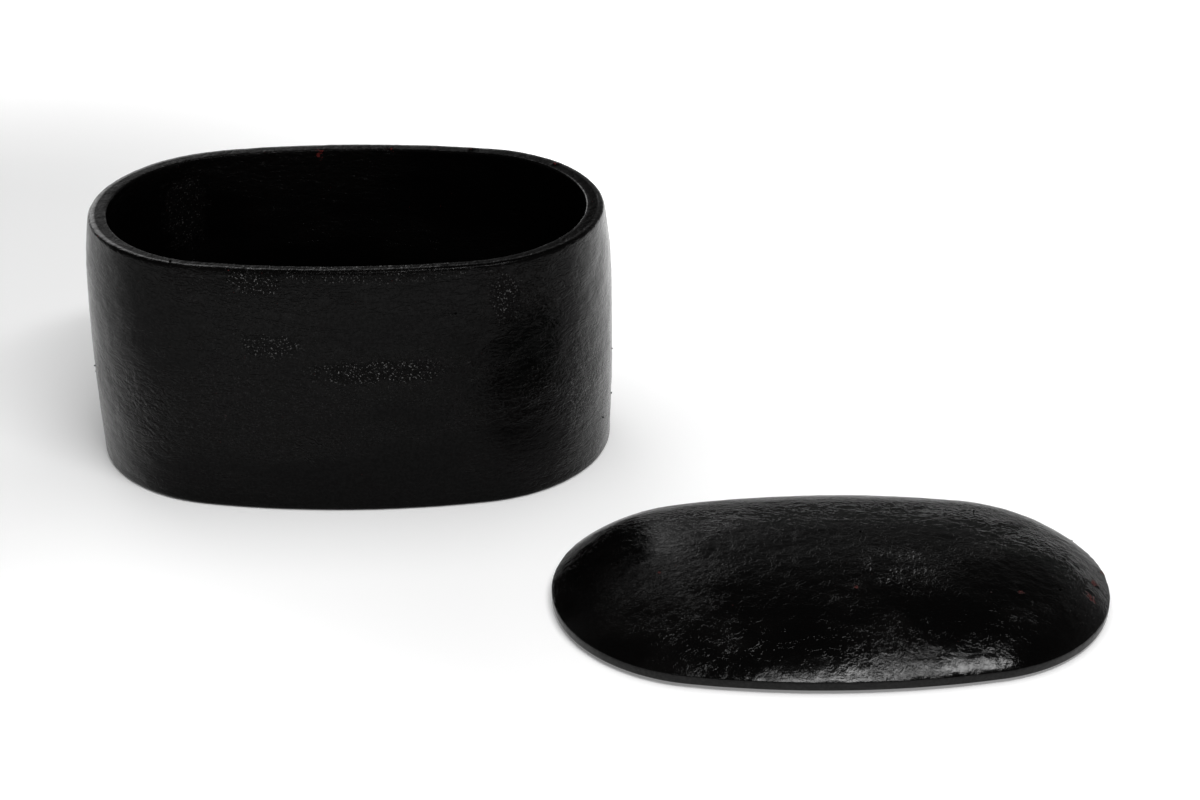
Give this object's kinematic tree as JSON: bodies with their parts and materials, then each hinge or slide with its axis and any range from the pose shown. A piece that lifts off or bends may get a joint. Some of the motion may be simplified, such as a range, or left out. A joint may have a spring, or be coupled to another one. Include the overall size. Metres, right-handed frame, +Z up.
{
  "type": "oval lidded box",
  "caption": "Oval lacquered box with bellied walls and a flat rim, open, its shallow domed lid standing on its lip ring beside it.",
  "frame": {"origin": "centre of the box's underside, on the surface that the box and the open lid stand on", "axes": "+X along the length of the box, towards the side where the lid lies; +Y to the back; +Z up out of the box's mouth"},
  "size_m": [0.5708, 0.3756, 0.15],
  "materials": {
    "black_lacquer": "semi-gloss hand-laid black lacquer over a red undercoat, leathery and finely wrinkled",
    "black_lacquer_inside": "smoother black lacquer on the inside board and on the lip ring",
    "peg_wood": "bare split bamboo, hidden under the lacquer"
  },
  "bodies": {
    "box": {"side_wall": "black_lacquer", "base_board": "black_lacquer_inside", "base_pegs": "peg_wood"},
    "lid": {"lid_crown": "black_lacquer", "lid_lip": "black_lacquer_inside"}
  },
  "joints": [
    {"name": "lid_lift", "type": "slide", "parent": "box", "child": "lid", "axis": [0, 0, 1], "range_m": [0, 0.17]}
  ]
}
